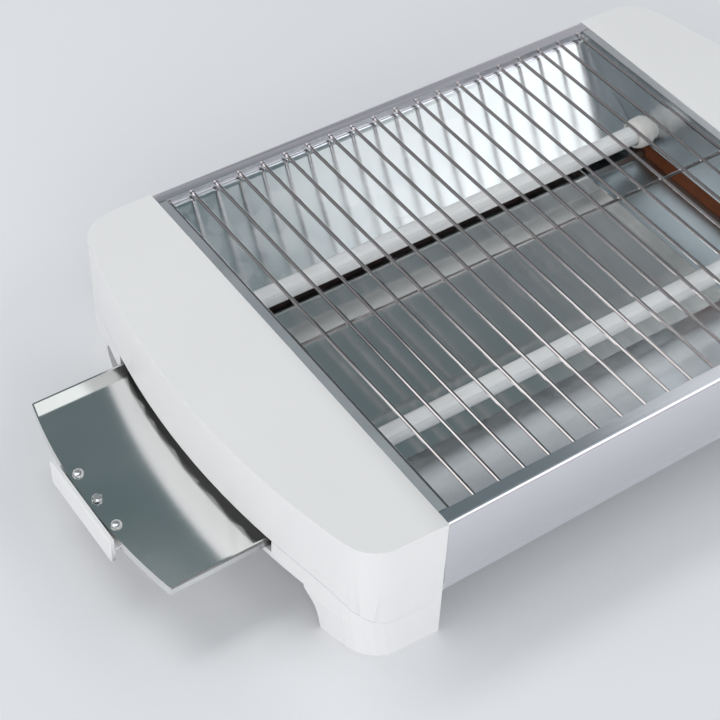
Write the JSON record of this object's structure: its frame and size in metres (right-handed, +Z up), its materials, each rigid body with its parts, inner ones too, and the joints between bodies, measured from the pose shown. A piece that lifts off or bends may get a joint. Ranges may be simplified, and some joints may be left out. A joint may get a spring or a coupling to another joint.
{
  "type": "toaster",
  "caption": "Flat toaster with quartz heating tubes under an open wire grill, plastic end caps, a timer knob and a crumb tray that slides out at one end.",
  "frame": {"origin": "on the table, under the middle of the whole outline with the crumb tray pulled out as pictured", "axes": "+X from the crumb-tray end to the timer end, +Y from the front long side to the rear, +Z up"},
  "size_m": [0.414, 0.2256, 0.0676],
  "materials": {
    "white": "satin white moulding",
    "panel_steel": "satin bright sheet",
    "galvanised": "mottled galvanised sheet",
    "grill_wire": "bright plated wire",
    "tray_steel": "bright rolled sheet, marked by use",
    "screw_steel": "plated",
    "quartz": "milky fused quartz",
    "heating_wire": "oxidised resistance wire",
    "ceramic": "unglazed white",
    "contact_metal": "dull",
    "board": "brown fibre board",
    "timer_case": "dull",
    "knob_plastic": "satin",
    "terminal_plastic": "matt",
    "bushing": "matt",
    "lead_sleeve": "woven glass-fibre sleeve"
  },
  "bodies": {
    "chassis": {"bottom_plate": "galvanised", "cord_bushing": "bushing", "front_heating_coil": "heating_wire", "front_left_ceramic": "ceramic", "front_panel": "panel_steel", "front_quartz_tube": "quartz", "front_reflector": "galvanised", "front_right_ceramic": "ceramic", "front_tube_lead": "lead_sleeve", "insulation_board": "board", "left_base": "white", "left_cover": "white", "left_end_plate": "galvanised", "left_front_base_screw": "screw_steel", "left_front_chassis_screw": "screw_steel", "left_front_contact_pin": "contact_metal", "left_lead": "lead_sleeve", "left_rear_base_screw": "screw_steel", "left_rear_chassis_screw": "screw_steel", "left_rear_contact_pin": "contact_metal", "rear_heating_coil": "heating_wire", "rear_left_ceramic": "ceramic", "rear_panel": "panel_steel", "rear_quartz_tube": "quartz", "rear_reflector": "galvanised", "rear_right_ceramic": "ceramic", "rear_tube_lead": "lead_sleeve", "right_base": "white", "right_cover": "white", "right_end_plate": "galvanised", "right_front_base_screw": "screw_steel", "right_front_chassis_screw": "screw_steel", "right_front_contact_pin": "contact_metal", "right_rear_base_screw": "screw_steel", "right_rear_chassis_screw": "screw_steel", "right_rear_contact_pin": "contact_metal", "terminal_block": "terminal_plastic", "timer_body": "timer_case", "timer_lead": "lead_sleeve", "timer_nut": "screw_steel", "wire_grill": "grill_wire"},
    "tray": {"crumb_tray": "tray_steel", "tray_handle": "white", "tray_handle_screw": "screw_steel"},
    "timer_control": {"timer_knob": "knob_plastic", "timer_shaft": "screw_steel"}
  },
  "joints": [
    {"name": "tray_slide", "type": "slide", "parent": "chassis", "child": "tray", "axis": [-1, 0, 0], "range_m": [-0.04, 0.24]},
    {"name": "timer_turn", "type": "hinge", "parent": "chassis", "child": "timer_control", "pos_m": [0.192, 0, 0.05], "axis": [-1, 0, 0], "range_deg": [0, 280]}
  ]
}
